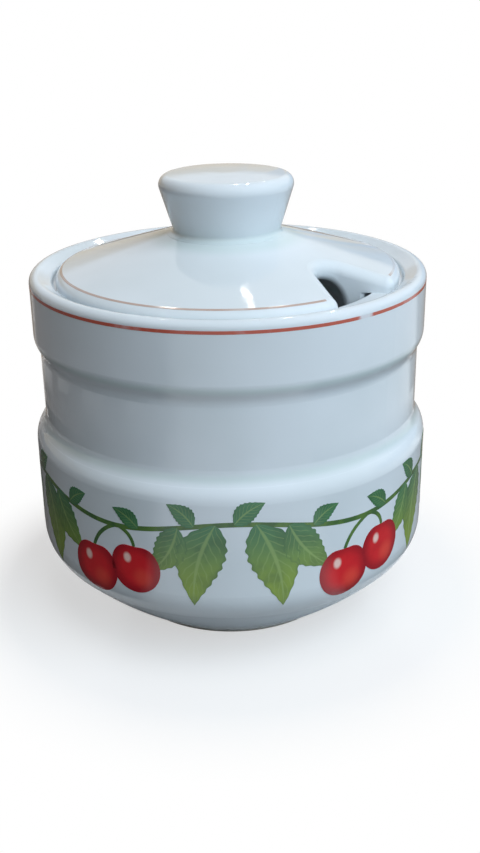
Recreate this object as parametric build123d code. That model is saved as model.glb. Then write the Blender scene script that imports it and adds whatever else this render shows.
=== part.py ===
from build123d import *
import os
from math import acos, atan2, cos, hypot, radians, sin, sqrt, tan

# Porcelain jam pot: a stepped round pot, a lid with a spoon notch that sits
# in the pot's rim, and a flared knob that is stuck to the lid before firing.
# Millimetres. Z is up, the origin is the centre of the foot, and the spoon
# notch opens towards +X.

# Pot, outside
POT_HEIGHT = 81.6
RIM_DIAMETER = 90.0
WAIST_DIAMETER = 87.3
DRUM_DIAMETER = 92.2
FOOT_DIAMETER = 54.4
FOOT_RING_HEIGHT = 0.9
KNEE_HEIGHT = 17.3
SHOULDER_HEIGHT = 3.1
WAIST_HEIGHT = 16.9
STEP_HEIGHT = 2.4
COLLAR_HEIGHT = 14.5
UNDERSIDE_BULGE = 0.8
UNDERSIDE_ROUNDING = 90.0
KNEE_ROUNDING = 9.5
PROFILE_ROUNDING = 8.0
RIM_ROUNDING = 1.65

# Pot, inside and under the foot
WALL = 4.2
FLOOR_THICKNESS = 4.2
FLOOR_ROUNDING = 7.0
FOOT_RING_WIDTH = 4.6
FOOT_RECESS_DEPTH = 1.6
RIM_WIDTH = 5.1
RIM_DROP = 2.6
RIM_EDGE_ROUNDING = 1.0
LEDGE_DEPTH = 2.9
LEDGE_WIDTH = 5.3
LEDGE_THICKNESS = 3.2
LEDGE_ROUNDING = 0.6

# Lid
LID_CLEARANCE = 0.8
LID_EDGE_THICKNESS = 2.8
LID_THICKNESS = 4.2
CONE_RISE = 7.6
LID_EDGE_ROUNDING = 2.4
COVE_ROUNDING = 7.0
FLANGE_CLEARANCE = 1.3
FLANGE_WIDTH = 4.6
FLANGE_DEPTH = 5.3
FLANGE_ROUNDING = 1.2
VENT_DIAMETER = 4.0
NOTCH_WIDTH = 19.4
NOTCH_DEPTH = 13.4
NOTCH_TIP_RADIUS = 4.7
NOTCH_CORNER_ROUNDING = 2.5
FLANGE_CORNER_ROUNDING = 1.2
NOTCH_INNER_ROUNDING = 1.5

# Knob
KNOB_FOOT_DIAMETER = 27.2
KNOB_FOOT_LIP = 0.05
KNOB_FOOT_RISE = 0.53
KNOB_NECK_DIAMETER = 24.0
KNOB_TOP_DIAMETER = 31.6
KNOB_HEIGHT = 13.7
KNOB_CROWN = 0.9
KNOB_WALL = 4.0
KNOB_FOOT_ROUNDING = 2.6
KNOB_TOP_ROUNDING = 2.2
KNOB_CROWN_ROUNDING = 60.0
KNOB_HOLLOW_ROUNDING = 2.0

# Angle and tolerance used when picking edges
HALF_TURN = 180
TINY = 0.01

# The longest share of an edge that the rounding at one of its ends may take
EDGE_SHARE = 0.48

# Levels of the pot's profile, from the rim down: the drum takes the height that is left
collar_bottom = POT_HEIGHT - COLLAR_HEIGHT
waist_top = collar_bottom - STEP_HEIGHT
waist_bottom = waist_top - WAIST_HEIGHT
drum_top = waist_bottom - SHOULDER_HEIGHT
ledge_top = POT_HEIGHT - LEDGE_DEPTH
ledge_bottom = ledge_top - LEDGE_THICKNESS
floor_top = FOOT_RECESS_DEPTH + FLOOR_THICKNESS

# Radii of the pot
rim_radius = RIM_DIAMETER / 2
waist_radius = WAIST_DIAMETER / 2
drum_radius = DRUM_DIAMETER / 2
foot_radius = FOOT_DIAMETER / 2
bore_radius = rim_radius - RIM_WIDTH
ledge_radius = bore_radius - LEDGE_WIDTH

# The rim's top falls towards the lid: its sharp corner is above the rounded crest
rim_tilt = atan2(RIM_DROP, RIM_WIDTH)
rim_corner = POT_HEIGHT + RIM_ROUNDING * ((1 + sin(rim_tilt)) * tan(rim_tilt) - (1 - cos(rim_tilt)))
rim_inside = rim_corner - RIM_DROP

# Radii and levels of the lid
lid_radius = bore_radius - LID_CLEARANCE
flange_radius = ledge_radius - FLANGE_CLEARANCE
flange_bore = flange_radius - FLANGE_WIDTH
flange_bottom = ledge_top - FLANGE_DEPTH
knob_foot_radius = KNOB_FOOT_DIAMETER / 2
lid_edge = ledge_top + LID_EDGE_THICKNESS
knob_seat = lid_edge + CONE_RISE
cone_slope = CONE_RISE / (lid_radius - knob_foot_radius)


def profile(corners):
    """A closed face from (radius, height, rounding) corners, ready to revolve."""
    points = [Vector(radius, 0, height) for radius, height, _ in corners]
    edges = []
    ends = []
    for index, corner in enumerate(points):
        rounding = corners[index][2]
        back = points[index - 1] - corner
        ahead = points[(index + 1) % len(points)] - corner
        half_angle = radians(back.get_angle(ahead)) / 2
        room = EDGE_SHARE * min(back.length, ahead.length)
        reach = min(rounding / tan(half_angle), room)
        enter = corner + back.normalized() * reach
        leave = corner + ahead.normalized() * reach
        ends.append((enter, leave))
        if reach > 0:
            bisector = (back.normalized() + ahead.normalized()).normalized()
            bulge = reach * (1 / cos(half_angle) - tan(half_angle))
            edges.append(Edge.make_three_point_arc(enter, corner + bisector * bulge, leave))
    for index, (enter, _) in enumerate(ends):
        edges.append(Edge.make_line(ends[index - 1][1], enter))
    return Face(Wire.combine(edges)[0])


def turned(corners):
    """A solid turned about the Z axis from its profile."""
    return revolve(profile(corners), Axis.Z)


def make_pot_body():
    """The pot: cone underside, drum, waist and collar, with a ledge inside the rim."""
    chord = Vector(drum_radius - foot_radius, 0, KNEE_HEIGHT - FOOT_RING_HEIGHT)
    outward = Vector(chord.Z, 0, -chord.X).normalized() * UNDERSIDE_BULGE
    belly_radius = (foot_radius + drum_radius) / 2 + outward.X
    belly_height = (FOOT_RING_HEIGHT + KNEE_HEIGHT) / 2 + outward.Z

    # The cone inside runs parallel to the upper half of the cone outside
    run = drum_radius - belly_radius
    climb = KNEE_HEIGHT - belly_height
    cone_lift = WALL * hypot(run, climb) / run
    inner_drum = drum_radius - WALL
    inner_waist = waist_radius - WALL
    inner_knee = KNEE_HEIGHT - WALL * climb / run + cone_lift
    inner_floor = inner_drum - (inner_knee - floor_top) * run / climb
    ledge_foot = ledge_bottom - abs(inner_waist - ledge_radius)

    ring_radius = foot_radius - FOOT_RING_HEIGHT
    ring_bore = ring_radius - FOOT_RING_WIDTH
    outside = [
        (ring_bore - FOOT_RECESS_DEPTH, FOOT_RECESS_DEPTH, LEDGE_ROUNDING),
        (ring_bore, 0, LEDGE_ROUNDING),
        (ring_radius, 0, 0),
        (foot_radius, FOOT_RING_HEIGHT, 0),
        (belly_radius, belly_height, UNDERSIDE_ROUNDING),
        (drum_radius, KNEE_HEIGHT, KNEE_ROUNDING),
        (drum_radius, drum_top, PROFILE_ROUNDING),
        (waist_radius, waist_bottom, PROFILE_ROUNDING),
        (waist_radius, waist_top, PROFILE_ROUNDING),
        (rim_radius, collar_bottom, PROFILE_ROUNDING),
        (rim_radius, rim_corner, RIM_ROUNDING),
    ]
    inside = [
        (bore_radius, rim_inside, RIM_EDGE_ROUNDING),
        (bore_radius, ledge_top, LEDGE_ROUNDING),
        (ledge_radius, ledge_top, LEDGE_ROUNDING),
        (ledge_radius, ledge_bottom, LEDGE_ROUNDING),
        (inner_waist, ledge_foot, PROFILE_ROUNDING),
        (inner_waist, waist_bottom, PROFILE_ROUNDING),
        (inner_drum, drum_top, PROFILE_ROUNDING),
        (inner_drum, inner_knee, KNEE_ROUNDING),
        (inner_floor, floor_top, FLOOR_ROUNDING),
    ]
    axis = [(0, floor_top, 0), (0, FOOT_RECESS_DEPTH, 0)]
    return turned(outside + inside + axis)


def notch_outline():
    """The spoon notch from above: a round tip with straight sides that open to the lid's edge."""
    tip_centre = lid_radius - NOTCH_DEPTH + NOTCH_TIP_RADIUS
    mouth_y = NOTCH_WIDTH / 2
    mouth_x = sqrt(lid_radius ** 2 - mouth_y ** 2)
    reach = hypot(mouth_x - tip_centre, mouth_y)
    side_angle = atan2(mouth_y, mouth_x - tip_centre) + acos(NOTCH_TIP_RADIUS / reach)
    side_x = tip_centre + NOTCH_TIP_RADIUS * cos(side_angle)
    side_y = NOTCH_TIP_RADIUS * sin(side_angle)
    open_x = rim_radius
    open_y = mouth_y + (open_x - mouth_x) * (mouth_y - side_y) / (mouth_x - side_x)
    tip_x = tip_centre - NOTCH_TIP_RADIUS
    tip = Edge.make_three_point_arc((side_x, side_y, 0), (tip_x, 0, 0), (side_x, -side_y, 0))
    sides = Polyline((side_x, -side_y), (open_x, -open_y), (open_x, open_y), (side_x, side_y))
    return make_face([tip, *sides.edges()])


def through_lid(outline):
    """A flat outline made as deep as the lid, from the end of its flange to the knob's seat."""
    return Pos(0, 0, flange_bottom) * extrude(outline, knob_seat - flange_bottom)


def off_seam(edge):
    """True for an edge that leaves the plane in which the lid's turned faces close."""
    return any(abs(vertex.Y) > TINY for vertex in edge.vertices())


def upright_edges(shape, radius):
    """The upright edges of a shape at a radius, where the notch cuts a round wall."""
    found = shape.edges().filter_by(Axis.Z).filter_by(off_seam)
    return found.filter_by(lambda edge: abs(hypot(edge.center().X, edge.center().Y) - radius) < TINY)


def inner_edges(shape):
    """The edges along which the notch cuts the hollow under the lid."""
    def chosen(edge):
        middle = edge.center()
        radius = hypot(middle.X, middle.Y)
        upper = knob_seat - (radius - knob_foot_radius) * cone_slope - LID_THICKNESS / 2
        inside = knob_foot_radius < middle.X and radius < flange_bore + TINY
        return inside and flange_bottom + TINY < middle.Z < upper
    return shape.edges().filter_by(chosen)


def make_lid():
    """The lid: a hollow low cone with a seat for the knob, a flange below and a notch for a spoon."""
    ceiling_top = knob_seat - LID_THICKNESS * hypot(1, cone_slope)
    ceiling_foot = ceiling_top - (flange_bore - knob_foot_radius) * cone_slope
    plug = turned([
        (0, flange_bottom, 0),
        (flange_radius, flange_bottom, 0),
        (flange_radius, ledge_top, 0),
        (lid_radius, ledge_top, 0),
        (lid_radius, lid_edge, 0),
        (knob_foot_radius, knob_seat, 0),
        (0, knob_seat, 0),
    ])
    room_bottom = flange_bottom - COVE_ROUNDING
    room = turned([
        (0, room_bottom, 0),
        (flange_bore, room_bottom, 0),
        (flange_bore, ceiling_foot, COVE_ROUNDING),
        (knob_foot_radius, ceiling_top, 0),
        (0, ceiling_top, 0),
    ])
    vent = through_lid(Circle(VENT_DIAMETER / 2))

    # The plug is turned round so that the seam of its faces is away from the notch
    half_turn = Rot(0, 0, HALF_TURN)
    lid = half_turn * plug - half_turn * room - vent - through_lid(notch_outline())

    # Round the notch's upright and inner edges, the flange's end and the upper edge
    lid = fillet(upright_edges(lid, lid_radius), NOTCH_CORNER_ROUNDING)
    lid = fillet(upright_edges(lid, flange_radius), FLANGE_CORNER_ROUNDING)
    lid = fillet(inner_edges(lid), NOTCH_INNER_ROUNDING)
    lid = fillet(lid.faces().sort_by(Axis.Z)[0].edges(), FLANGE_ROUNDING)
    upper = lid.faces().filter_by(GeomType.CONE).sort_by(Axis.Z)[-1]
    return fillet(upper.edges().filter_by(off_seam), LID_EDGE_ROUNDING)


def make_lid_knob():
    """The knob: a hollow flared cone with a spread foot and a slightly crowned top."""
    top = knob_seat + KNOB_HEIGHT
    shoulder = top - KNOB_CROWN
    neck_radius = KNOB_NECK_DIAMETER / 2
    top_radius = KNOB_TOP_DIAMETER / 2
    neck = knob_seat + KNOB_FOOT_RISE
    ceiling = top - KNOB_WALL
    flare = (top_radius - neck_radius) / (shoulder - neck)
    hollow_top = neck_radius + (ceiling - neck) * flare - KNOB_WALL
    hollow_foot = neck_radius - KNOB_WALL
    return turned([
        (hollow_foot, knob_seat, 0),
        (knob_foot_radius, knob_seat, 0),
        (knob_foot_radius, knob_seat + KNOB_FOOT_LIP, 0),
        (neck_radius, neck, KNOB_FOOT_ROUNDING),
        (top_radius, shoulder, KNOB_TOP_ROUNDING),
        (top_radius / 2, top - KNOB_CROWN / 4, KNOB_CROWN_ROUNDING),
        (top_radius / 4, top, KNOB_CROWN_ROUNDING),
        (0, top, 0),
        (0, ceiling, 0),
        (hollow_top, ceiling, KNOB_HOLLOW_ROUNDING),
    ])


NODES = {
    "pot_body": make_pot_body,
    "lid": make_lid,
    "lid_knob": make_lid_knob,
}

os.makedirs("parts", exist_ok=True)
for node, make in NODES.items():
    shape = make()
    export_step(shape, f"parts/{node}.step")
    print(node, round(shape.volume / 1000, 1), "cm3")
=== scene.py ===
# %% [markdown]
# # A porcelain jam pot with a spoon notch
#
# The pot, its lid and its knob come from the CAD model, already in their
# places and in metres. This lesson dresses them: a camera where the
# photographer stood, a white room, soft light, a glossy glaze, two painted
# lines and a printed border.

# %% Load the CAD model
import math

import bpy
from mathutils import Matrix, Vector


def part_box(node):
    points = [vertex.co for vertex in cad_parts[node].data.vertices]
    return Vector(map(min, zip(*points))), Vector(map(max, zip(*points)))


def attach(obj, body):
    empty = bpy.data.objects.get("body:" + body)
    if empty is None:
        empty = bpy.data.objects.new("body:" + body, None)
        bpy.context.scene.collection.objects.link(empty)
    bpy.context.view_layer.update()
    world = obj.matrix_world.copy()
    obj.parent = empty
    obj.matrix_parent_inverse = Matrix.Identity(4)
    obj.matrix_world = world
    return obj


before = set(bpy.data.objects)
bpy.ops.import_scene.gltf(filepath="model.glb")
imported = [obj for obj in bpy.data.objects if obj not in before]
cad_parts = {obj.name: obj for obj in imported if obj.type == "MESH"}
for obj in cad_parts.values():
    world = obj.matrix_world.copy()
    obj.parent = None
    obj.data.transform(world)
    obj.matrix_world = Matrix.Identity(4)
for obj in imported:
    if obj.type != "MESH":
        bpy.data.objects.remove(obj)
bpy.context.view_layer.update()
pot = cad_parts["pot_body"]
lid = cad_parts["lid"]
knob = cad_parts["lid_knob"]
MM = 0.001

# %% [markdown]
# ## Camera
#
# A round pot has no corners to line a camera up with, but it has ellipses:
# the rim, the painted lines and the steps. How flat each one looks gives the
# camera's height, and how much they differ gives its distance. The camera
# could be moved by eye until the picture fits, but numbers that were fitted
# to all the ellipses at once are surer. They are written for a pot whose
# spoon notch is straight to the right, and then the camera is turned about
# the pot's axis, which brings the notch to the front.

# %% Camera
IMAGE_HEIGHT = 853
FOCAL_PIXELS = 1100
SENSOR = 36.0
NEAREST = 0.01
RIM_RADIUS = 0.045
RIM_LINE_LEVEL = 0.0796
NOTCH_TURN = math.radians(39.2)
PITCH, YAW, ROLL = 0.3949, -0.0037, 0.0151
# From the middle of the rim's line, in radii of the rim
STAND_RIGHT, STAND_BACK, STAND_UP = 0.0705, -5.4769, 1.4306


def add_object(name, data):
    """A new object in the scene that shows this camera, lamp or mesh."""
    thing = bpy.data.objects.new(name, data)
    bpy.context.scene.collection.objects.link(thing)
    return thing


def turned(angle, axis):
    """A turn about an axis, as a matrix."""
    return Matrix.Rotation(angle, 4, axis)


stand = Vector((
    STAND_RIGHT * RIM_RADIUS,
    STAND_BACK * RIM_RADIUS,
    RIM_LINE_LEVEL + STAND_UP * RIM_RADIUS,
))
aim = turned(-YAW, "Z") @ turned(math.pi / 2 - PITCH, "X") @ turned(-ROLL, "Z")
camera = add_object("photo_camera", bpy.data.cameras.new("photo_camera"))
camera.data.sensor_width = SENSOR
camera.data.lens = SENSOR * FOCAL_PIXELS / IMAGE_HEIGHT
camera.data.clip_start = NEAREST
camera.matrix_world = turned(NOTCH_TURN, "Z") @ Matrix.Translation(stand) @ aim
bpy.context.scene.camera = camera
print("camera at", [round(v, 4) for v in camera.matrix_world.translation])
print("lens", round(camera.data.lens, 2), "mm")

# %% [markdown]
# ## Writing nodes as sums
#
# Materials and Geometry Nodes are both trees of nodes. They could be clicked
# together by hand, or added node by node in a long script. Here one small
# class stands for an output socket: sums on it add Math nodes, and its node
# method adds any other kind of node, so a finish reads like a formula.

# %% A class for sockets
class Wire:
    """An output socket of a node tree. Sums on wires add Math nodes to the tree."""

    def __init__(self, tree, socket=None):
        self.tree, self.socket = tree, socket

    def node(self, kind, settings=None, sockets=None, out=0):
        """Adds a node, its settings before its sockets, and returns one of its outputs."""
        made = self.tree.nodes.new(kind)
        for name, value in (settings or {}).items():
            setattr(made, name, value)
        for key, value in (sockets or {}).items():
            found = [s for s in made.inputs if key in (s.identifier, s.name)]
            socket = made.inputs[key] if isinstance(key, int) else found[0]
            if isinstance(value, Wire):
                self.tree.links.new(value.socket, socket)
            else:
                socket.default_value = value
        found = [s for i, s in enumerate(made.outputs) if out in (i, s.identifier, s.name)]
        return Wire(self.tree, found[0] if found else None)

    def also(self, name):
        """Another output of the node that this wire comes from."""
        return Wire(self.tree, self.socket.node.outputs[name])

    def math(self, operation, *values):
        """A Math node on this wire and other wires or numbers."""
        sockets = dict(enumerate((self, *values)))
        return self.node("ShaderNodeMath", {"operation": operation}, sockets)

    def __add__(self, other): return self.math("ADD", other)
    def __radd__(self, other): return self.math("ADD", other)
    def __sub__(self, other): return self.math("SUBTRACT", other)
    def __rsub__(self, other): return (self * -1).math("ADD", other)
    def __mul__(self, other): return self.math("MULTIPLY", other)
    def __rmul__(self, other): return self.math("MULTIPLY", other)
    def __truediv__(self, other): return self.math("DIVIDE", other)
    def __neg__(self): return self.math("MULTIPLY", -1.0)

    def step(self, low, high):
        """Nought below low, one above high, and a soft step between them."""
        settings = {"interpolation_type": "SMOOTHSTEP"}
        sockets = {"Value": self, "From Min": low, "From Max": high}
        return self.node("ShaderNodeMapRange", settings, sockets)

    def blend(self, first, second):
        """The first colour where this wire is nought and the second where it is one."""
        sockets = {"Factor_Float": self, "A_Color": first, "B_Color": second}
        return self.node("ShaderNodeMix", {"data_type": "RGBA"}, sockets, "Result_Color")

    def shade(self, first, second):
        """The first shader where this wire is nought and the second where it is one."""
        return self.node("ShaderNodeMixShader", sockets={0: self, 1: first, 2: second})


def split(start, vector):
    """The X of a vector; its Y and Z are also there."""
    return start.node("ShaderNodeSeparateXYZ", sockets={0: vector})


print("a wire has", [name for name in vars(Wire) if not name.startswith("_")])

# %% Colours and materials
def colour(red, green, blue):
    """A display colour from 0 to 255, as the linear colour that nodes take."""
    shares = (red / 255, green / 255, blue / 255)
    return (*(c / 12.92 if c < 0.04045 else ((c + 0.055) / 1.055) ** 2.4 for c in shares), 1.0)


def grey(level):
    """A linear grey from nought to one."""
    return (level, level, level, 1.0)


def new_material(name):
    """A new material, its Principled shader and a wire to start from."""
    material = bpy.data.materials.new(name)
    material.use_nodes = True
    shader = material.node_tree.nodes["Principled BSDF"]
    return material, shader, Wire(material.node_tree)


def blank_material(name):
    """A material with no node in it yet, and a wire to start from."""
    material, _, start = new_material(name)
    start.tree.nodes.clear()
    return material, start


def feed(shader, **wires):
    """Links wires to a shader's sockets; a double underscore in a name is a space."""
    for name, wire in wires.items():
        wire.tree.links.new(wire.socket, shader.inputs[name.replace("__", " ")])


print("a colour as nodes take it:", [round(c, 3) for c in colour(200, 210, 220)])

# %% [markdown]
# ## White room
#
# The photograph shows the pot alone on white. A bright white world would give
# that, but it would wash the pot out as well. So the world and the floor look
# at what each ray is for: rays from the camera and rays of reflections find
# white, and the rays that carry light find something dimmer. Close to the pot
# the floor is in part a plain matt surface, which keeps the pot's shadow.

# %% World
WORLD_LIGHT = 0.14
WORLD_TINT = (1.0, 0.97, 0.94, 1.0)


def shown_rays(start):
    """Wires that are one for camera rays alone, and for those of reflections and glass too."""
    camera_ray = start.node("ShaderNodeLightPath", out="Is Camera Ray")
    mirrored = camera_ray.math("MAXIMUM", camera_ray.also("Is Glossy Ray"))
    return camera_ray, mirrored.math("MAXIMUM", camera_ray.also("Is Transmission Ray"))


world = bpy.data.worlds.new("white_room")
world.use_nodes = True
bpy.context.scene.world = world
_, shown = shown_rays(Wire(world.node_tree))
feed(
    world.node_tree.nodes["Background"],
    Color=shown.blend(WORLD_TINT, grey(1.0)),
    Strength=shown * (1 - WORLD_LIGHT) + WORLD_LIGHT,
)
bpy.context.scene.view_settings.view_transform = "Standard"
print("world lights at", WORLD_LIGHT, "and shows white")

# %% Floor
FLOOR_HALF = 8.0
FLOOR_WHITE = 0.96
FLOOR_BOUNCE = 0.24
FLOOR_SHINE = 0.55
MATT_WITHIN, WHITE_BEYOND = 0.03, 0.08

floor_mesh = bpy.data.meshes.new("floor")
square = ((-1, -1), (1, -1), (1, 1), (-1, 1))
floor_mesh.from_pydata([(x * FLOOR_HALF, y * FLOOR_HALF, 0) for x, y in square], [], [(0, 1, 2, 3)])
floor = add_object("floor", floor_mesh)

floor_paint, ground = blank_material("floor_paint")
camera_ray, shown = shown_rays(ground)
place = ground.node("ShaderNodeTexCoord", out="Object")
away = ground.node("ShaderNodeVectorMath", {"operation": "LENGTH"}, {0: place}, "Value")
near_white = ground.node("ShaderNodeBsdfDiffuse", sockets={"Color": grey(FLOOR_WHITE)})
far_white = ground.node("ShaderNodeEmission", sockets={"Color": grey(1.0)})
bounce = ground.node("ShaderNodeBsdfDiffuse", sockets={"Color": grey(FLOOR_BOUNCE)})
glow = away.step(MATT_WITHIN, WHITE_BEYOND).math("MAXIMUM", camera_ray * FLOOR_SHINE)
cover = shown.shade(bounce, glow.shade(near_white, far_white))
ground.node("ShaderNodeOutputMaterial", sockets={"Surface": cover})
floor_mesh.materials.append(floor_paint)
print("floor", 2 * FLOOR_HALF, "m wide")

# %% [markdown]
# ## Lamps
#
# In the photograph a cool window lights the pot from the right, and the room
# adds a warmer light from above. Small lamps would throw hard shadows, so
# each of these is a large square one. The glaze would mirror the squares,
# which the photograph doesn't show, so reflections leave the lamps out. A
# third lamp, low at the back, is there for views from behind.

# %% Lamps
LAMP_AIM = Vector((0, 0, 0.05))
WINDOW = (0.68, 0.855, 1.0)
ROOM = (1.0, 0.95, 0.92)
PLAIN = (1.0, 1.0, 1.0)


def soft_lamp(name, azimuth, elevation, distance, width, watts, tint, shape="SQUARE", height=0.0):
    """An area lamp aimed at the pot, from a bearing that is counted from the camera's."""
    lamp = add_object(name, bpy.data.lights.new(name, "AREA"))
    lamp.data.energy, lamp.data.color, lamp.data.shape = watts, tint, shape
    lamp.data.size, lamp.data.size_y = width, height
    bearing, rise = NOTCH_TURN + math.radians(azimuth), math.radians(elevation)
    flat = math.cos(rise)
    way = Vector((math.sin(bearing) * flat, -math.cos(bearing) * flat, math.sin(rise)))
    lamp.location = LAMP_AIM + way * distance
    lamp.rotation_euler = way.to_track_quat("Z", "Y").to_euler()
    lamp.visible_camera = False
    return lamp


# Degrees from the camera and up, metres away and wide, watts, tint
lights = [
    soft_lamp("window_light", 46, 40, 1.8, 1.6, 28.4, WINDOW),
    soft_lamp("room_light", 50, 68, 1.8, 1.4, 12.0, ROOM),
    soft_lamp("back_light", 190, 4, 1.6, 0.3, 16.0, PLAIN),
]
for lamp in lights:
    lamp.visible_glossy = False
print("lamps", [lamp.name for lamp in lights])

# %% [markdown]
# ## Sparks
#
# Lamps under the ceiling behind the pot show in the glaze as sparks: a long
# one on the lid, and small ones along its edge and on the rim. Painted on,
# they would stay put when the view moves. Small lamps that only reflections
# see give true sparks, and add no other light.

# %% Sparks
WARM = (1.0, 0.93, 0.82)
SPARK_AWAY = 2.0
SPOT_WIDTH, SPOT_WATTS = 0.06, 1.5
# Degrees from the camera and up
SPOTS = ((201.5, 56.0), (173.7, 56.0), (163.8, 56.0), (161.0, 45.0))

sparks = [
    soft_lamp("spark_1", 176.1, 49.7, SPARK_AWAY, 0.075, 0.06, WARM, "ELLIPSE", 0.02),
    soft_lamp("spark_2", 174.8, 50.4, SPARK_AWAY, 0.04, 0.02, WARM, "ELLIPSE", 0.014),
]
for number, spot in enumerate(SPOTS, len(sparks) + 1):
    size = (SPARK_AWAY, SPOT_WIDTH, SPOT_WATTS)
    sparks.append(soft_lamp(f"spark_{number}", *spot, *size, WARM, "DISK"))
for spark in sparks:
    spark.visible_diffuse = False
print("sparks", [spark.name for spark in sparks])

# %% [markdown]
# ## Light through the walls
#
# Thin porcelain lets some light through, so the hollow behind the notch isn't
# black. Subsurface scattering in the glaze could do that, but it is slow to
# render. A very faint lamp inside the pot does it at no cost.

# %% Light through the walls
THROUGH_WATTS = 0.0008
THROUGH_RADIUS = 0.012
THROUGH_LEVEL = 0.045

through = add_object("through_light", bpy.data.lights.new("through_light", "POINT"))
through.data.energy, through.data.shadow_soft_size = THROUGH_WATTS, THROUGH_RADIUS
through.location = (0, 0, THROUGH_LEVEL)
through.visible_camera = through.visible_glossy = False
print(THROUGH_WATTS, "W inside the pot")

# %% [markdown]
# ## Cards
#
# A glossy pot mirrors the room that it stands in: grey table low down, warm
# walls on the left and cool ones on the right. Two darker cards next to the
# foot are a painted shadow of the pot on the table, darker on the left. A
# modelled room could give that, but it would change the light on the pot
# too. Photographers hold up cards, and so does this step. They have faded
# edges, and only reflections show them.

# %% Cards
CARD_COLUMNS, CARD_ROWS = 30, 8
CARD_FADE = 2.0  # rows or columns over which an edge fades


def card_mesh(name, first, last, inner, outer):
    """A sheet round the pot between two bearings and two rings, each a radius and a height."""
    points, cover, faces = [], [], []
    for column in range(CARD_COLUMNS + 1):
        bearing = NOTCH_TURN + math.radians(first + (last - first) * column / CARD_COLUMNS)
        for row in range(CARD_ROWS + 1):
            radius, height = (a + (b - a) * row / CARD_ROWS for a, b in zip(inner, outer))
            points.append((radius * math.sin(bearing), -radius * math.cos(bearing), height))
            to_edge = min(column, CARD_COLUMNS - column, CARD_ROWS - row)
            cover.append(min(1.0, to_edge / CARD_FADE))
            if column and row:
                corner = len(points) - 1
                before = corner - CARD_ROWS - 1
                faces.append((corner, corner - 1, before - 1, before))
    mesh = bpy.data.meshes.new(name)
    mesh.from_pydata(points, [], faces)
    mesh.attributes.new("cover", "FLOAT", "POINT").data.foreach_set("value", cover)
    return mesh


def grey_card(name, tone, *shape):
    """A card that glows in its tone, in reflections alone."""
    sheet = add_object(name, card_mesh(name, *shape))
    sheet.visible_camera = sheet.visible_diffuse = False
    sheet.visible_shadow = sheet.visible_transmission = False
    paint, start = blank_material(name)
    shade = start.node("ShaderNodeEmission", sockets={"Color": tone})
    cover = start.node("ShaderNodeAttribute", {"attribute_name": "cover"}, out="Fac")
    faded = cover.shade(start.node("ShaderNodeBsdfTransparent"), shade)
    start.node("ShaderNodeOutputMaterial", sockets={"Surface": faded})
    sheet.data.materials.append(paint)
    return sheet


TABLE_TOP, WALL_FOOT, WALL_TOP, WALL_AWAY = 0.001, 0.0, 0.5, 1.5
WALL = ((WALL_AWAY, WALL_FOOT), (WALL_AWAY, WALL_TOP))
# Name, colour, first and last bearing in degrees, inner and outer ring
CARDS = (
    ("table_left", (140, 134, 132), -145, -25, (0.15, TABLE_TOP), (1.4, TABLE_TOP)),
    ("table_back", (150, 138, 126), 125, 225, (0.05, TABLE_TOP), (1.4, TABLE_TOP)),
    # Foot cards: a painted shadow of the pot on the table next to its foot, darker on the left
    ("foot_left", (84, 80, 78), -150, -30, (0.05, TABLE_TOP), (0.20, TABLE_TOP)),
    ("foot_right", (130, 126, 122), 40, 140, (0.05, TABLE_TOP), (0.16, TABLE_TOP)),
    ("wall_left", (214, 200, 178), -195, -85, *WALL),
    ("wall_right", (166, 182, 202), 85, 180, *WALL),
)
cards = [grey_card(name, colour(*tone), *shape) for name, tone, *shape in CARDS]
print("cards", [card.name for card in cards])

# %% [markdown]
# ## Glaze
#
# Porcelain is a white body under a layer of clear glass. The glass is not
# perfect: it is a little wavy, it runs thicker into the corners and shows
# greener there, it carries a few dark specks from the kiln, and it is wiped
# off the foot, which stays matt. A painted texture could show all this, but
# it would have to be unwrapped and would blur close up. Here each of them is
# one mask over the surface, made from the place of a point on the pot.

# %% Glaze colours and sizes
WHITE = colour(228, 235, 240)
MILKY = colour(221, 229, 233)
POOLED = colour(202, 219, 217)
SPECK = colour(112, 106, 98)
BISCUIT = colour(226, 218, 204)
FOOT_EDGE = (0.00072, 0.00108)  # levels between which the bare foot turns to glaze

# Clouds, cells or waves to the metre
MILK, SPECK_CELLS, SMEARS, WAVES, PEEL, GRAIN = 40.0, 210.0, 120.0, 95.0, 420.0, 2400.0
MILK_EDGE = (0.35, 0.70)
POOL_SHARE = 0.55
SPECK_RARE, SPECK_SIZE, SPECK_SHARE = (0.955, 0.965), (0.03, 0.07), 0.6
GLAZE_ROUGH, SMEAR_ROUGH, FOOT_ROUGH = 0.02, 0.04, 0.55
PEEL_SHARE, GRAIN_SHARE = 0.12, 0.2
WAVE_STRENGTH, WAVE_HEIGHT = 0.25, 0.00025


def noise(start, place, scale, detail=2.0):
    """A cloudy value around a half, with so many clouds to the metre."""
    sockets = {"Vector": place, "Scale": scale, "Detail": detail}
    return start.node("ShaderNodeTexNoise", sockets=sockets, out="Fac")


print("a wave of the glaze is about", round(1 / WAVES / MM, 1), "mm long")

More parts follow.
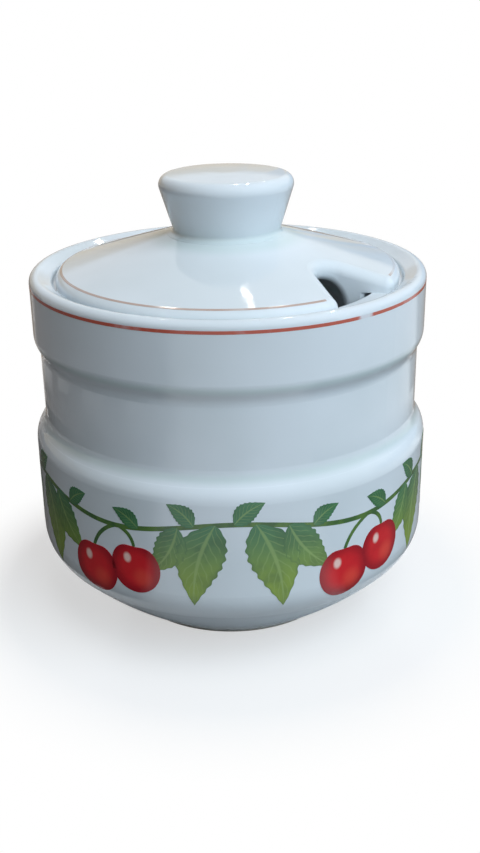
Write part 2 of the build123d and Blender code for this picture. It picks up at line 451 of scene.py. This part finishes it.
# %% Glaze
def glazed_porcelain(name, corners):
    """White porcelain under a glossy glaze that pools at the levels of the corners."""
    material, shader, start = new_material(name)
    place = start.node("ShaderNodeTexCoord", out="Object")
    level = split(start, place).also("Z")
    body = noise(start, place, MILK).step(*MILK_EDGE).blend(WHITE, MILKY)
    for corner, depth in corners:
        near = 1 - (level - corner).math("ABSOLUTE").step(0.0, depth)
        body = (near * POOL_SHARE).blend(body, POOLED)
    cell = start.node("ShaderNodeTexVoronoi", sockets={"Vector": place, "Scale": SPECK_CELLS})
    chance = start.node("ShaderNodeSeparateColor", sockets={0: cell.also("Color")})
    speck = (1 - cell.step(*SPECK_SIZE)) * chance.step(*SPECK_RARE)
    body = (speck * SPECK_SHARE).blend(body, SPECK)
    bare = 1 - level.step(*FOOT_EDGE)
    rough = bare * FOOT_ROUGH + noise(start, place, SMEARS) * SMEAR_ROUGH + GLAZE_ROUGH
    peel = noise(start, place, PEEL, detail=1.0) * PEEL_SHARE
    grain = bare * noise(start, place, GRAIN) * GRAIN_SHARE
    waves = noise(start, place, WAVES, detail=1.0) + peel + grain
    relief = {"Height": waves, "Strength": WAVE_STRENGTH, "Distance": WAVE_HEIGHT}
    bump = start.node("ShaderNodeBump", sockets=relief)
    feed(shader, Base__Color=bare.blend(body, BISCUIT), Roughness=rough, Normal=bump)
    return material


# Piece, finish, and the level and depth of each corner where glaze pools
finishes = (
    (pot, "pot_glaze", ((0.0478, 0.0016), (0.0671, 0.0014))),
    (lid, "lid_glaze", ((0.0887, 0.0012),)),
    (knob, "knob_glaze", ((0.0896, 0.0014),)),
)
for node, name, corners in finishes:
    node.data.materials.clear()
    node.data.materials.append(glazed_porcelain(name, corners))
print("glazed", [node.name for node, *_ in finishes])

# %% [markdown]
# ## Laying paint on the glaze
#
# The two lines are banded on with a brush while the pot turns, and the border
# is a printed sheet that is slid on and fired. All of it lies on the glaze as
# a film far thinner than a hair. It could be a mask in the glaze, but a film
# has a sharp edge from close up, and it is a piece that can be taken off
# again. Each piece is drawn flat first, with X along the ring and Y across
# it. Geometry Nodes then send every point along a ray to the real surface,
# and give the sheet a thickness there.

# %% Trees
def new_tree(name, *sizes):
    """A Geometry Nodes tree with a surface, a paint and sizes as inputs, and wires from them."""
    tree = bpy.data.node_groups.new(name, "GeometryNodeTree")
    inputs = {"Geometry": "Geometry", "Surface": "Object", "Paint": "Material"}
    for label, kind in {**inputs, **dict.fromkeys(sizes, "Float")}.items():
        tree.interface.new_socket(label, in_out="INPUT", socket_type="NodeSocket" + kind)
    tree.interface.new_socket("Geometry", in_out="OUTPUT", socket_type="NodeSocketGeometry")
    source = tree.nodes.new("NodeGroupInput")
    return Wire(tree), {socket.name: Wire(tree, socket) for socket in source.outputs if socket.name}


def grow(name, start, points=None, **inputs):
    """Runs a tree on a mesh of points, if it takes any, and keeps the result as a plain mesh."""
    piece = add_object(name, points or bpy.data.meshes.new(name))
    modifier = piece.modifiers.new(name, "NODES")
    modifier.node_group = start.tree
    for item in start.tree.interface.items_tree:
        if item.in_out == "INPUT" and item.name in inputs:
            modifier[item.identifier] = inputs[item.name]
    done = piece.evaluated_get(bpy.context.evaluated_depsgraph_get())
    mesh = bpy.data.meshes.new_from_object(done)
    piece.modifiers.clear()
    piece.data = mesh
    mesh.name = name
    return piece


print("trees so far:", len(bpy.data.node_groups))

# %% Flat sheets
SAME_PLACE = 1e-6


def here(start):
    """The X of each point's own place; its Y and Z are also there."""
    return split(start, start.node("GeometryNodeInputPosition"))


def vector(start, x, y, z=0.0):
    """A vector of three wires or numbers."""
    return start.node("ShaderNodeCombineXYZ", sockets={"X": x, "Y": y, "Z": z})


def spread(start, along, across):
    """A flat grid, and wires for how far along and across it a point is, from nought to one."""
    sizes = {"Size X": 1.0, "Size Y": 1.0, "Vertices X": along, "Vertices Y": across}
    grid = start.node("GeometryNodeMeshGrid", sockets=sizes, out="Mesh")
    place = here(start)
    return grid, place + 0.5, place.also("Y") + 0.5


def place_at(start, mesh, place):
    """Puts every point of a mesh at a new place."""
    return start.node("GeometryNodeSetPosition", sockets={"Geometry": mesh, "Position": place})


def merge(start, mesh):
    """Joins points that lie on each other, which closes seams and poles."""
    sockets = {"Geometry": mesh, "Distance": SAME_PLACE}
    return start.node("GeometryNodeMergeByDistance", sockets=sockets)


print("points closer than", SAME_PLACE, "m are joined")

# %% Films
FILM_SINK = 0.00006
SHARP_EDGE = 0.6


def film(start, sheet, surface, origin, ray, lift):
    """Sends a flat sheet along rays to a surface, and makes a thin closed film of it there."""
    relative = {"transform_space": "RELATIVE"}
    target = start.node("GeometryNodeObjectInfo", relative, {"Object": surface}, "Geometry")
    shot = {"Target Geometry": target, "Source Position": origin, "Ray Direction": ray}
    hit = start.node("GeometryNodeRaycast", sockets=shot, out="Hit Position")
    inwards = {0: hit.also("Hit Normal"), "Scale": -FILM_SINK}
    sunk = start.node("ShaderNodeVectorMath", {"operation": "SCALE"}, inwards)
    place = start.node("ShaderNodeVectorMath", {"operation": "ADD"}, {0: hit, 1: sunk})
    under = merge(start, place_at(start, sheet, place))
    raised = {"Mesh": under, "Offset Scale": lift + FILM_SINK, "Individual": False}
    over = start.node("GeometryNodeExtrudeMesh", sockets=raised, out="Mesh")
    base = start.node("GeometryNodeFlipFaces", sockets={"Mesh": under})
    both = start.node("GeometryNodeJoinGeometry", sockets={"Geometry": base})
    start.tree.links.new(over.socket, both.socket.node.inputs[0])
    edge = start.node("GeometryNodeInputMeshEdgeAngle").math("GREATER_THAN", SHARP_EDGE)
    smooth = start.node("GeometryNodeSetShadeSmooth", sockets={"Geometry": merge(start, both)})
    crisp = {"Geometry": smooth, "Selection": edge, "Shade Smooth": False}
    return start.node("GeometryNodeSetShadeSmooth", {"domain": "EDGE"}, crisp)


def lay(start, inputs, sheet, rays, lift):
    """Ends a tree: the sheet as a film on the surface, as plain geometry with its paint."""
    mesh = film(start, sheet, inputs["Surface"], *rays, lift)
    plain = start.node("GeometryNodeRealizeInstances", sockets={"Geometry": mesh})
    sockets = {"Geometry": plain, "Material": inputs["Paint"]}
    painted = start.node("GeometryNodeSetMaterial", sockets=sockets)
    start.node("NodeGroupOutput", sockets={"Geometry": painted})


print("films go", round(FILM_SINK * 1e6), "micrometres into the glaze")

# %% Rays
RAY_RADIUS = 0.07
RAY_LEVEL = 0.12


def round_rays(start, radius):
    """Rays from outside the pot to its axis: X of the sheet is the way round and Y the height."""
    place = here(start)
    angle = place / radius
    side, front = angle.math("COSINE"), angle.math("SINE")
    origin = vector(start, side * RAY_RADIUS, front * RAY_RADIUS, place.also("Y"))
    return origin, vector(start, -side, -front)


def falling_rays(start, radius):
    """Rays straight down on the lid: X of the sheet is the way round and Y the way inwards."""
    place = here(start)
    angle = place / radius
    reach = radius - place.also("Y")
    origin = vector(start, angle.math("COSINE") * reach, angle.math("SINE") * reach, RAY_LEVEL)
    return origin, (0.0, 0.0, -1.0)


print("rays start", RAY_RADIUS, "m from the axis or", RAY_LEVEL, "m up")

# %% [markdown]
# ## Painted lines
#
# A brush that is held still while the pot turns leaves a line: a brick-red
# one under the rim and a paler one near the lid's edge. The red one is rubbed
# off at one place in front of the notch, where a spoon lies. The pale one is
# made paler to the right of the notch as a painted reflection: there the
# glaze's sheen washes the line out. Both could be rings of thin tube, but those
# would stand proud. A flat band that is laid on the surface follows it
# exactly, and the wear and the painted sheen are in its paint, as masks over
# the place of a point.

# %% Paint of the lines
RIM_TONE = colour(196, 88, 68)
LID_TONE = colour(190, 164, 152)
LINE_ROUGH = 0.12
THIN_CLOUDS, THIN_EDGE, THIN_SHARE = 160.0, (0.50, 0.80), 0.35
RAGGED_CLOUDS, RAGGED_DEPTH = 900.0, 0.0012
RUB_PLACE, RUB_EDGE, RUB_SIDE = -0.0097, (0.0009, 0.0023), (0.0, 0.01)
# Painted sheen: where the lid's line is made paler, in place of the glaze's reflection that washes
# it out
SHEEN_PALE_RIGHT, SHEEN_PALE_FRONT = (0.010, 0.016), (-0.015, 0.01)


def line_paint(name, tone, rubbed, faded):
    """Enamel, thinner here and there, rubbed off where a spoon lies, and made paler beside the
    notch as a painted reflection of the glaze's sheen.
    """
    material, shader, start = new_material(name)
    place = start.node("ShaderNodeTexCoord", out="Object")
    x = split(start, place)
    y = x.also("Y")
    thin = noise(start, place, THIN_CLOUDS, detail=3.0).step(*THIN_EDGE) * THIN_SHARE
    ragged = (noise(start, place, RAGGED_CLOUDS) - 0.5) * RAGGED_DEPTH
    aside = (y - RUB_PLACE + ragged).math("ABSOLUTE")
    worn = (1 - aside.step(*RUB_EDGE)) * x.step(*RUB_SIDE)
    # Painted reflection: paler to the right of the notch, where the glaze's sheen washes the line
    # out
    sheen_pale = y.step(*SHEEN_PALE_RIGHT) * x.step(*SHEEN_PALE_FRONT)
    bare = thin.math("MAXIMUM", worn * rubbed).math("MAXIMUM", sheen_pale * faded)
    feed(shader, Base__Color=bare.blend(tone, WHITE))
    shader.inputs["Roughness"].default_value = LINE_ROUGH
    return material


rim_paint = line_paint("rim_line_paint", RIM_TONE, rubbed=0.9, faded=0.0)
# The lid's line is faded by a painted reflection of the glaze's sheen
lid_paint = line_paint("lid_line_paint", LID_TONE, rubbed=0.0, faded=0.75)
print("paints", rim_paint.name, lid_paint.name)

# %% Line under the rim
LINE_STEPS = 361, 4
LINE_LIFT = 0.00003
RIM_PAINT_LEVEL = 0.07945
RIM_LINE_WIDTH = 0.0007

rim_tree, rim = new_tree("rim_line", "Radius", "Level", "Width")
band, along, across = spread(rim_tree, *LINE_STEPS)
way_round = (along - 0.5) * math.tau * rim["Radius"]
height = rim["Level"] + (across - 0.5) * rim["Width"]
band = place_at(rim_tree, band, vector(rim_tree, way_round, height))
lay(rim_tree, rim, band, round_rays(rim_tree, rim["Radius"]), LINE_LIFT)
rim_line = grow(
    "rim_line", rim_tree, Surface=pot, Paint=rim_paint,
    Radius=RIM_RADIUS, Level=RIM_PAINT_LEVEL, Width=RIM_LINE_WIDTH,
)
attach(rim_line, "pot")
print("line under the rim:", len(rim_line.data.polygons), "faces")

# %% Line on the lid
LID_LINE_WIDTH = 0.00052
LID_LINE_RADIUS = 0.0377
LID_LINE_GAP = math.radians(18.5)

lid_tree, ring = new_tree("lid_line", "Radius", "Gap", "Width")
band, along, across = spread(lid_tree, *LINE_STEPS)
way_round = (ring["Gap"] + along * (math.tau - 2 * ring["Gap"])) * ring["Radius"]
band = place_at(lid_tree, band, vector(lid_tree, way_round, (across - 0.5) * ring["Width"]))
lay(lid_tree, ring, band, falling_rays(lid_tree, ring["Radius"]), LINE_LIFT)
lid_line = grow(
    "lid_line", lid_tree, Surface=lid, Paint=lid_paint,
    Radius=LID_LINE_RADIUS, Gap=LID_LINE_GAP, Width=LID_LINE_WIDTH,
)
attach(lid_line, "cover")
print("line on the lid:", len(lid_line.data.polygons), "faces")

# %% [markdown]
# ## Printed border
#
# A garland of cherries goes round the drum: a thin vine, with leaves that
# hang from it and cherries in pairs. It is printed, so it is flat and repeats
# exactly. It could be drawn as a picture and wrapped round, but then its
# edges would be only as sharp as the picture. One repeat is written down as a
# short list instead, in millimetres along the vine, and copied round the
# drum.

# %% Layout of the garland
REPEATS = 5
DRUM_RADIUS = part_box("pot_body")[1][0]
REPEAT = math.tau * DRUM_RADIUS / REPEATS
VINE_LEVEL = 0.0370
VINE_WAVE = 0.0016
GARLAND_START = math.radians(-67.0)

# Along the vine, bearing in degrees, length, width, bend
LEAVES = (
    (2.0, -120, 13.0, 7.2, 1.2),
    (10.0, -104, 20.0, 10.4, -1.5),
    (18.5, -74, 21.0, 10.8, 1.6),
    (25.5, -50, 15.0, 8.2, -1.2),
    (5.5, 140, 7.4, 4.4, -0.7),
    (14.0, 36, 8.0, 4.6, 0.7),
    (31.0, 32, 7.0, 4.0, 0.6),
    (51.0, 150, 7.2, 4.0, -0.6),
)
# Along the vine, height of the middle, radius
CHERRIES = ((38.8, 23.6, 6.3), (49.8, 26.2, 6.0))
STALK_ROOT = 45.5


def vine_height(along):
    """Height of the vine at a place along the border."""
    return VINE_LEVEL + VINE_WAVE * math.sin(math.tau * along / REPEAT)


starts = [GARLAND_START * DRUM_RADIUS + repeat * REPEAT for repeat in range(REPEATS)]
print(REPEATS, "repeats of", round(REPEAT / MM, 1), "mm")

# %% [markdown]
# ## Print colours
#
# Printed enamel melts into the glaze, so it is nearly as glossy, and it is
# mottled like a dabbed sponge. Each leaf and cherry has ribs or a gleam that
# follow its own shape. A UV map could place them. Here the trees store for
# every point how far along and across its leaf it is, and the paint reads
# that back by name.

# %% Paint of leaves
PRINT_ROUGH = 0.09
LEAF_LOW, LEAF_HIGH = colour(134, 162, 58), colour(70, 126, 86)
LEAF_SHADE, LEAF_RIB, LEAF_EDGE = colour(48, 92, 58), colour(158, 186, 112), colour(52, 98, 66)
LEAF_TURN = (0.0225, 0.0385)  # levels between which yellow-green turns blue-green
LEAF_MOTTLE, MOTTLE_EDGE, MOTTLE_SHARE = 170.0, (0.42, 0.72), 0.55
RIB_TAPER, RIB_EDGE, RIB_SHARE = 0.03, (0.05, 0.13), 0.5
VEINS, VEIN_SLANT, VEIN_EDGE, VEIN_SHARE = 8, 2.4, (0.03, 0.13), 0.6
VEIN_END = (0.55, 0.95)  # shares of the half width between which a vein ends
LEAF_RIM, LEAF_RIM_SHARE = (0.80, 1.0), 0.35


def print_paint(name):
    """The start of a printed colour: its material, its shader, a wire and the place of a point."""
    material, shader, start = new_material(name)
    shader.inputs["Roughness"].default_value = PRINT_ROUGH
    return material, shader, start, start.node("ShaderNodeTexCoord", out="Object")


def printed(start, name):
    """A value that the mesh keeps for each point."""
    return start.node("ShaderNodeAttribute", {"attribute_name": name}, out="Fac")


def leaf_colour():
    """Blue-green above and yellow-green below, with paler ribs and a mottled print."""
    material, shader, start, place = print_paint("leaf_print")
    along, across = printed(start, "leaf_along"), printed(start, "leaf_across").math("ABSOLUTE")
    green = split(start, place).also("Z").step(*LEAF_TURN).blend(LEAF_LOW, LEAF_HIGH)
    mottle = noise(start, place, LEAF_MOTTLE, detail=3.0).step(*MOTTLE_EDGE)
    green = (mottle * MOTTLE_SHARE).blend(green, LEAF_SHADE)
    rib = 1 - (across + along * RIB_TAPER).step(*RIB_EDGE)
    branch = (along * VEINS - across * VEIN_SLANT).math("FRACT") - 0.5
    vein = 1 - branch.math("ABSOLUTE").step(*VEIN_EDGE)
    vein = vein * (1 - across.step(*VEIN_END)) * VEIN_SHARE
    green = (rib.math("MAXIMUM", vein) * RIB_SHARE).blend(green, LEAF_RIB)
    rim = across.step(*LEAF_RIM) * LEAF_RIM_SHARE
    feed(shader, Base__Color=rim.blend(green, LEAF_EDGE))
    return material


leaf_print = leaf_colour()
print("print", leaf_print.name)

# %% Paint of cherries and stems
CHERRY_RED, CHERRY_RIM, CHERRY_SHADE = colour(222, 34, 44), colour(164, 14, 34), colour(196, 22, 38)
CHERRY_GLOW, CHERRY_GLEAM = colour(240, 84, 66), colour(255, 226, 214)
STEM_PALE, STEM_DARK = colour(92, 128, 62), colour(66, 104, 60)
CHERRY_MOTTLE, CHERRY_MOTTLE_EDGE, CHERRY_MOTTLE_SHARE = 260.0, (0.45, 0.75), 0.4
STEM_MOTTLE, STEM_MOTTLE_EDGE = 300.0, (0.35, 0.65)
# On a cherry of radius one, from its middle
CHERRY_RIM_EDGE = (0.45, 1.0)
GLOW_AT, GLOW_EDGE, GLOW_SHARE = (0.30, -0.36), (0.10, 0.55), 0.55
GLEAM_AT, GLEAM_EDGE, GLEAM_SHARE, GLEAM_SQUEEZE = (-0.30, 0.36), (0.10, 0.26), 0.85, 1.6


def away_from(x, y, middle, squeeze=1.0):
    """How far a point is from a middle, with X counted more for a spot that is narrower."""
    side, rise = x - middle[0], y - middle[1]
    return (side * side * squeeze + rise * rise).math("SQRT")


def cherry_colour():
    """Bright red, darker round the edge, with a lighter side and a printed gleam."""
    material, shader, start, place = print_paint("cherry_print")
    x, y = printed(start, "cherry_x"), printed(start, "cherry_y")
    red = away_from(x, y, (0.0, 0.0)).step(*CHERRY_RIM_EDGE).blend(CHERRY_RED, CHERRY_RIM)
    mottle = noise(start, place, CHERRY_MOTTLE, detail=3.0).step(*CHERRY_MOTTLE_EDGE)
    red = (mottle * CHERRY_MOTTLE_SHARE).blend(red, CHERRY_SHADE)
    glow = 1 - away_from(x, y, GLOW_AT).step(*GLOW_EDGE)
    red = (glow * GLOW_SHARE).blend(red, CHERRY_GLOW)
    gleam = 1 - away_from(x, y, GLEAM_AT, GLEAM_SQUEEZE).step(*GLEAM_EDGE)
    feed(shader, Base__Color=(gleam * GLEAM_SHARE).blend(red, CHERRY_GLEAM))
    return material


def stem_colour():
    """Olive green with a mottled print."""
    material, shader, start, place = print_paint("stem_print")
    mottle = noise(start, place, STEM_MOTTLE).step(*STEM_MOTTLE_EDGE)
    feed(shader, Base__Color=mottle.blend(STEM_PALE, STEM_DARK))
    return material


cherry_print, stem_print = cherry_colour(), stem_colour()
print("prints", cherry_print.name, stem_print.name)

# %% [markdown]
# ## Vine
#
# The vine is a line about a millimetre wide that swings up and down once in
# each repeat. A curve with a flat profile could draw it. It is a band like
# the painted lines here, with a sine added to its height, because then it
# closes on itself without a seam and lies on the drum by the same rays.

# %% Vine
VINE_STEPS = 505, 4
VINE_WIDTH = 0.0011
VINE_LIFT = 0.00003

vine_tree, vine = new_tree("vine", "Radius", "Level", "Wave", "Width", "Start")
band, along, across = spread(vine_tree, *VINE_STEPS)
way_round = vine["Start"] + along * math.tau * vine["Radius"]
swing = (along * (math.tau * REPEATS)).math("SINE") * vine["Wave"]
height = vine["Level"] + swing + (across - 0.5) * vine["Width"]
band = place_at(vine_tree, band, vector(vine_tree, way_round, height))
lay(vine_tree, vine, band, round_rays(vine_tree, vine["Radius"]), VINE_LIFT)
border_vine = grow(
    "border_vine", vine_tree, Surface=pot, Paint=stem_print, Radius=DRUM_RADIUS,
    Level=VINE_LEVEL, Wave=VINE_WAVE, Width=VINE_WIDTH, Start=starts[0],
)
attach(border_vine, "pot")
print("vine", len(border_vine.data.polygons), "faces")

# %% [markdown]
# ## Leaves and stalks
#
# A leaf is an oval with a toothed edge, bent a little to one side, and a
# stalk is the same strip without the oval. Each could be modelled by hand and
# copied. One tree makes them all here: it puts a flat grid on every point of
# the layout, and bends it by the length, width and bend that the point keeps.
# Leaves that overlap lie a few micrometres apart, so that none flickers
# through another.

# %% Values that points keep
def scatter(name, roots, **values):
    """A mesh of loose points that keeps a number or a vector for each of them."""
    places = [(x, y, 0.0) for x, y in roots]
    mesh = bpy.data.meshes.new(name)
    mesh.from_pydata(places, [], [])
    for key, kept_values in {"root": places, **values}.items():
        if isinstance(kept_values[0], tuple):
            layer = mesh.attributes.new(key, "FLOAT_VECTOR", "POINT")
            layer.data.foreach_set("vector", [n for value in kept_values for n in value])
        else:
            layer = mesh.attributes.new(key, "FLOAT", "POINT")
            layer.data.foreach_set("value", kept_values)
    return mesh


def kept(start, name, kind="FLOAT"):
    """A value that the points keep, by its name."""
    return start.node("GeometryNodeInputNamedAttribute", {"data_type": kind}, {"Name": name})


def keep(start, mesh, name, value):
    """Stores a value for each point of a mesh, for trees and materials to read."""
    sockets = {"Geometry": mesh, "Name": name, "Value": value}
    return start.node("GeometryNodeStoreNamedAttribute", {"data_type": "FLOAT"}, sockets)


def copies(start, points, sheet):
    """One copy of a flat sheet for each point."""
    sockets = {"Points": points, "Instance": sheet}
    made = start.node("GeometryNodeInstanceOnPoints", sockets=sockets)
    return start.node("GeometryNodeRealizeInstances", sockets={"Geometry": made})


print(len(LEAVES), "leaves and", len(CHERRIES), "stalks in a repeat")

# %% Tree of strips
STRIP_STEPS = 65, 5
LEAF_SKEW = 0.72  # below one, a leaf is widest nearer to its root
LEAF_TEETH = 9

strip_tree, strip = new_tree("strips", "Radius", "Fullness", "Teeth")
sheet, along, across = spread(strip_tree, *STRIP_STEPS)
sheet = keep(strip_tree, sheet, "leaf_along", along)
sheet = keep(strip_tree, sheet, "leaf_across", across * 2 - 1)
strips = copies(strip_tree, strip["Geometry"], sheet)

along, across = kept(strip_tree, "leaf_along"), kept(strip_tree, "leaf_across")
root_x = split(strip_tree, kept(strip_tree, "root", "FLOAT_VECTOR"))
reach_x = split(strip_tree, kept(strip_tree, "reach", "FLOAT_VECTOR"))
root_y, reach_y = root_x.also("Y"), reach_x.also("Y")
length = (reach_x * reach_x + reach_y * reach_y).math("SQRT")
teeth = 1 + (along * (math.tau * LEAF_TEETH)).math("SINE") * strip["Teeth"]
oval = (along.math("POWER", LEAF_SKEW) * math.pi).math("SINE") * teeth
half_width = kept(strip_tree, "width") * 0.5 * (1 + strip["Fullness"] * (oval - 1))
side = kept(strip_tree, "bend") * along * (1 - along) * 4 + across * half_width
x = root_x + reach_x * along - reach_y / length * side
y = root_y + reach_y * along + reach_x / length * side
flat = place_at(strip_tree, strips, vector(strip_tree, x, y))
rays = round_rays(strip_tree, strip["Radius"])
lay(strip_tree, strip, flat, rays, kept(strip_tree, "lift"))
print("a strip has", STRIP_STEPS[0], "by", STRIP_STEPS[1], "points")

# %% Leaves
LEAF_LIFT, LEAF_LIFT_STEP = 0.00004, 0.000004

leaf_roots, leaf_reaches = [], []
for begin in starts:
    for place, bearing, length, *_ in LEAVES:
        way = math.radians(bearing)
        leaf_roots.append((begin + place * MM, vine_height(place * MM)))
        leaf_reaches.append((length * MM * math.cos(way), length * MM * math.sin(way), 0.0))
leaf_points = scatter(
    "border_leaves", leaf_roots, reach=leaf_reaches,
    lift=[LEAF_LIFT + rank * LEAF_LIFT_STEP for rank in range(len(LEAVES))] * REPEATS,
    width=[width * MM for *_, width, _ in LEAVES] * REPEATS,
    bend=[bend * MM for *_, bend in LEAVES] * REPEATS,
)
border_leaves = grow(
    "border_leaves", strip_tree, leaf_points, Surface=pot, Paint=leaf_print,
    Radius=DRUM_RADIUS, Fullness=1.0, Teeth=0.05,
)
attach(border_leaves, "pot")
print(len(leaf_roots), "leaves,", len(border_leaves.data.polygons), "faces")

# %% Stalks
STALK_WIDTH = 0.0009
STALK_BEND = 0.0011
STALK_LIFT = 0.000032
STALK_END = 0.82  # of a cherry's radius, above its middle

root_height = vine_height(STALK_ROOT * MM)
stalk_roots = [(begin + STALK_ROOT * MM, root_height) for begin in starts for _ in CHERRIES]
stalk_reaches = [
    ((place - STALK_ROOT) * MM, (height + radius * STALK_END) * MM - root_height, 0.0)
    for place, height, radius in CHERRIES
] * REPEATS
stalk_points = scatter(
    "border_stalks", stalk_roots, reach=stalk_reaches,
    lift=[STALK_LIFT] * len(stalk_roots),
    width=[STALK_WIDTH] * len(stalk_roots),
    bend=[math.copysign(STALK_BEND, reach[0]) for reach in stalk_reaches],
)
border_stalks = grow(
    "border_stalks", strip_tree, stalk_points, Surface=pot, Paint=stem_print,
    Radius=DRUM_RADIUS, Fullness=0.0, Teeth=0.0,
)
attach(border_stalks, "pot")
print(len(stalk_roots), "stalks,", len(border_stalks.data.polygons), "faces")

# %% [markdown]
# ## Cherries
#
# A printed cherry is a flat disc with a dimple where its stalk goes in. A
# circle could be drawn and edited point by point. A grid that is rolled up
# into a disc gives round rows of faces, and one formula pushes its top in.
# The cherries lie over leaves and stalks, so they are lifted the most.

# %% Cherries
CHERRY_STEPS = 49, 8
CHERRY_LIFT = 0.00008
DIMPLE_DEPTH, DIMPLE_NARROW = 0.16, 9

fruit_tree, fruit = new_tree("cherries", "Radius", "Dimple")
sheet, along, across = spread(fruit_tree, *CHERRY_STEPS)
turn = along * -math.tau
top = (turn.math("SINE") - 1) * DIMPLE_NARROW
hollow = 1 - top.math("EXPONENT") * fruit["Dimple"]
x, y = turn.math("COSINE") * across, turn.math("SINE") * across * hollow
disc = place_at(fruit_tree, sheet, vector(fruit_tree, x, y))
disc_place = here(fruit_tree)
disc = keep(fruit_tree, disc, "cherry_x", disc_place)
disc = keep(fruit_tree, disc, "cherry_y", disc_place.also("Y"))
discs = copies(fruit_tree, fruit["Geometry"], disc)

size = kept(fruit_tree, "size")
root = split(fruit_tree, kept(fruit_tree, "root", "FLOAT_VECTOR"))
x = root + kept(fruit_tree, "cherry_x") * size
y = root.also("Y") + kept(fruit_tree, "cherry_y") * size
flat = place_at(fruit_tree, discs, vector(fruit_tree, x, y))
lay(fruit_tree, fruit, flat, round_rays(fruit_tree, fruit["Radius"]), CHERRY_LIFT)

fruit_roots = [
    (begin + place * MM, height * MM) for begin in starts for place, height, _ in CHERRIES
]
fruit_sizes = [radius * MM for *_, radius in CHERRIES] * REPEATS
border_cherries = grow(
    "border_cherries", fruit_tree, scatter("border_cherries", fruit_roots, size=fruit_sizes),
    Surface=pot, Paint=cherry_print, Radius=DRUM_RADIUS, Dimple=DIMPLE_DEPTH,
)
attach(border_cherries, "pot")
print(len(fruit_roots), "cherries,", len(border_cherries.data.polygons), "faces")

# %% [markdown]
